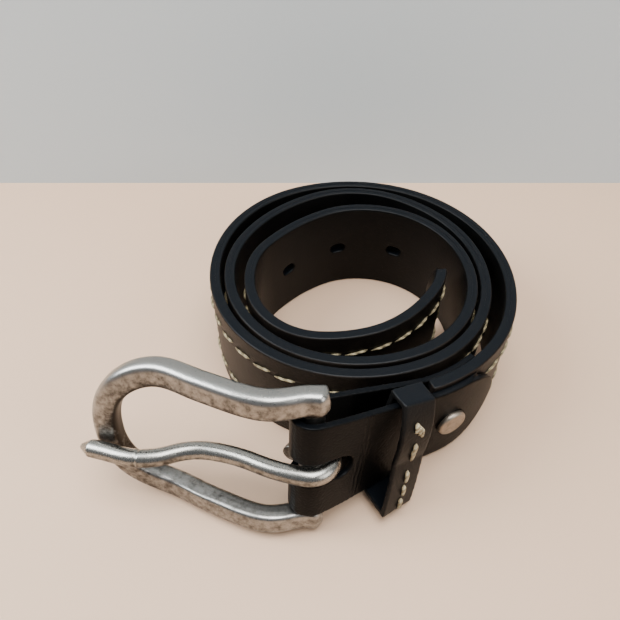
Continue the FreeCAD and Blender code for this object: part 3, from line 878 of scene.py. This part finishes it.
@dataclass
class Keeper:
    """The loop that holds the strap's tip, and its stitches."""

    voxel: float = 0.4 * MM
    relaxing: int = 8
    seed: int = 31
    hole_shift: tuple[float, float, float] = (-0.4 * MM, -0.6 * MM, 3.6 * MM)
    hole_radius: float = 0.9 * MM
    thread: ThreadFinish = ThreadFinish("keeper thread", (0.42, 0.355, 0.22), (0.14, 0.1, 0.055))

    def build(self) -> None:
        """Builds and dresses the loop and its seam."""
        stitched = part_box("keeper_stitching")
        hole = (*(place + shift for place, shift in zip(stitched[1], self.hole_shift)), self.hole_radius)
        leather = LeatherFinish("keeper leather", (0.0022, 0.0022, 0.0023), (0.0052, 0.005, 0.0048),
                                (0.0035, 0.0046, 0.0065), roughness=0.38, rim_roughness=0.28,
                                grain_depth=0.09 * MM, wrinkle=0.6, dents=(hole,))
        loop = copy_of("keeper_loop", "keeper_leather_loop")
        remeshed(loop, self.voxel, self.relaxing)
        finish_piece(loop, "keeper", leather.material())
        low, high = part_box("keeper_loop")
        seam = Seam("keeper_stitching", "keeper_thread", Stitching.LINK, (low + high) / 2, self.seed,
                    slim=1.15, stretch=1.08, plump=0.9)
        finish_piece(seam.sew(), "keeper", self.thread.material())


@dataclass
class Buckle:
    """The cast ring, its bar and the prong."""

    ring_voxel: float = 0.33 * MM
    prong_voxel: float = 0.25 * MM
    relaxing: int = 2
    end_round: float = 2.6 * MM
    end_shrink: float = 0.55
    groove_place: float = 19.5 * MM
    groove_breadth: float = 0.6 * MM
    groove_depth: float = 0.28 * MM
    groove_reach: float = 6.0 * MM
    groove_window: float = 1.0 * MM

    def build(self) -> None:
        """Builds and dresses the ring, the bar and the prong."""
        low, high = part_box("buckle_ring")
        middle = (low + high) / 2
        plating = PlatingFinish("ring plating", (0.33, 0.325, 0.31), (0.04, 0.034, 0.029), roughness=0.22,
                                stain_and_shade_roughness=0.36, stain_and_shade_low=0.14, stain_and_shade_high=0.64,
                                inner_point=tuple(middle)).material()
        ring = copy_of("buckle_ring", "buckle_ring_metal")
        remeshed(ring, self.ring_voxel, self.relaxing)
        self.round_ends(ring)
        finish_piece(ring, "buckle", plating)
        bar = copy_of("buckle_bar", "buckle_bar_metal")
        smooth(bar, EDGE_ANGLE)
        finish_piece(bar, "buckle", plating)
        wire = PlatingFinish("prong plating", (0.3, 0.292, 0.27), (0.03, 0.027, 0.024), roughness=0.2,
                             stain_and_shade_roughness=0.36, stain_and_shade_low=0.16, stain_and_shade_high=0.62,
                             inner_point=tuple(middle)).material()
        prong = copy_of("buckle_prong", "buckle_prong_metal")
        remeshed(prong, self.prong_voxel, self.relaxing)
        self.cut_groove(prong)
        finish_piece(prong, "prong", wire)

    def round_ends(self, ring: bpy.types.Object) -> None:
        """Domes the two arms' free ends, behind the bar.

        Args:
            ring: The remeshed ring.
        """
        bar = Vector(joint("buckle_swing")["pos_m"])
        up = Vector(joint("buckle_swing")["axis"]).normalized()
        points = [vertex.co for vertex in ring.data.vertices]
        ahead = sum(points, Vector()) / len(points) - bar
        ahead = (ahead - up * ahead.dot(up)).normalized()
        for side in (1, -1):
            arm = [p for p in points if (p - bar).dot(up) * side > 0]
            back = min((p - bar).dot(ahead) for p in arm)
            end = [p for p in arm if (p - bar).dot(ahead) < back + self.end_round]
            middle = sum(end, Vector()) / len(end)
            for point in end:
                near = 1 - ((point - bar).dot(ahead) - back) / self.end_round
                spoke = point - middle
                spoke -= ahead * spoke.dot(ahead)
                point -= spoke * (self.end_shrink * near * near)

    def cut_groove(self, prong: bpy.types.Object) -> None:
        """Presses the shallow groove that crosses the prong before its tip.

        Args:
            prong: The finished prong.
        """
        pivot = Vector(joint("prong_swing")["pos_m"])
        points = (vertex.co for vertex in prong.data.vertices)
        tip = max(points, key=lambda point: (point - pivot).length).copy()
        near = [v.co for v in prong.data.vertices
                if abs((v.co - tip).length - self.groove_place) < self.groove_window]
        middle = sum(near, Vector()) / len(near)
        along = (tip - middle).normalized()
        for vertex in prong.data.vertices:
            apart = vertex.co - middle
            off = abs(apart.dot(along)) / self.groove_breadth
            if off < 1.0 and apart.length < self.groove_reach:
                spoke = apart - along * apart.dot(along)
                vertex.co -= spoke.normalized() * (self.groove_depth * (1 - off * off))


# ---- the room ----------------------------------------------------------------------------------
@dataclass
class Studio:
    """A pale bench top and wall, soft lights and the camera."""

    bench: tuple[float, float, float] = (0.58, 0.395, 0.27)
    wall: tuple[float, float, float] = (0.5, 0.56, 0.59)
    wall_y: float = 0.121
    camera_place: tuple[float, float, float] = (-0.0018, -0.1376, 0.1767)
    camera_down: float = 46.8
    lens: float = 33.4
    sensor: float = 36.0
    nearest: float = 0.01
    bench_side: float = 4.0
    wall_side: float = 2.0
    wall_roughness: float = 0.6
    paler: float = 1.05
    sky: tuple[float, float, float, float] = (0.82, 0.88, 0.95, 1.0)
    sky_strength: float = 0.3
    aim: tuple[float, float, float] = (0.0, 0.0, 0.02)
    lamps: tuple[tuple, ...] = (("window", (-0.55, 0.05, 0.5), 0.5, 12.0, (0.95, 0.98, 1.0)),
                                ("overhead", (0.05, -0.05, 0.9), 0.6, 14.0, (1.0, 0.99, 0.97)),
                                ("fill", (0.6, -0.4, 0.45), 0.5, 3.5, (1.0, 0.98, 0.95)))

    def surface(self, name: str, colour: tuple[float, float, float], place: tuple, turn: tuple, size: float,
                one_sided: bool = False) -> None:
        """Lays one plain plane.

        Args:
            name: The plane's name.
            colour: Its colour.
            place: Its middle.
            turn: Its turn, in radians.
            size: Its side.
            one_sided: Whether its back is clear, so that the belt shows from behind it.
        """
        bpy.ops.object.select_all(action="DESELECT")
        bpy.ops.mesh.primitive_plane_add(size=size, location=place, rotation=turn)
        plane = bpy.context.object
        plane.name = name
        sheet, shader = start_material(name)
        where = sheet.add("TexCoord").outputs["Object"]
        soft = sheet.add("TexNoise", {"Vector": where, "Scale": 9.0, "Detail": 3.0}).outputs[0]
        paler = tuple(min(c * self.paler, 1.0) for c in colour)
        sheet.set(shader, "Base Color", sheet.mix(soft, (*colour, 1.0), (*paler, 1.0)))
        sheet.set(shader, "Roughness", self.wall_roughness)
        if one_sided:
            behind = sheet.add("NewGeometry").outputs["Backfacing"]
            clear = sheet.add("BsdfTransparent").outputs[0]
            shown = sheet.add("MixShader", {0: behind, 1: shader.outputs[0], 2: clear})
            output = sheet.tree.nodes["Material Output"]
            sheet.tree.links.new(shown.outputs[0], output.inputs["Surface"])
        plane.data.materials.append(bpy.data.materials[name])

    def light(self, name: str, place: tuple, aim: Vector, size: float, watts: float,
              colour: tuple[float, float, float]) -> None:
        """Hangs one square soft light.

        Args:
            name: The light's name.
            place: Where it hangs.
            aim: Where it points.
            size: Its side.
            watts: Its power.
            colour: Its colour.
        """
        data = bpy.data.lights.new(name, "AREA")
        data.size = size
        data.energy = watts
        data.color = colour
        lamp = bpy.data.objects.new(name, data)
        bpy.context.scene.collection.objects.link(lamp)
        lamp.location = place
        lamp.rotation_mode = "QUATERNION"
        lamp.rotation_quaternion = (aim - Vector(place)).to_track_quat("-Z", "Y")

    def build(self) -> None:
        """Builds the bench, the wall, the lights and the camera."""
        self.surface("bench", self.bench, (0.0, 0.0, 0.0), (0.0, 0.0, 0.0), self.bench_side)
        upright = (math.radians(90), 0.0, 0.0)
        self.surface("wall", self.wall, (0.0, self.wall_y, 1.0), upright, self.wall_side, one_sided=True)
        for name, place, size, watts, colour in self.lamps:
            self.light(name, place, Vector(self.aim), size, watts, colour)
        world = bpy.data.worlds.new("room")
        world.use_nodes = True
        background = world.node_tree.nodes["Background"]
        background.inputs["Color"].default_value = self.sky
        background.inputs["Strength"].default_value = self.sky_strength
        bpy.context.scene.world = world
        data = bpy.data.cameras.new("camera")
        data.lens = self.lens
        data.sensor_width = self.sensor
        data.clip_start = self.nearest
        camera = bpy.data.objects.new("camera", data)
        camera.location = self.camera_place
        camera.rotation_euler = (math.radians(90.0 - self.camera_down), 0.0, 0.0)
        bpy.context.scene.collection.objects.link(camera)
        bpy.context.scene.camera = camera


def main() -> None:
    """Builds the belt's sub-assemblies in order, then the room."""
    logging.basicConfig(level=logging.INFO, format="%(name)s %(message)s")
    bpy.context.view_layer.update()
    for assembly in (Strap(), BuckleTab(), Keeper(), Buckle()):
        assembly.build()
        log.info("%s is built", type(assembly).__name__)
    Studio().build()


if __name__ == "__main__":
    main()
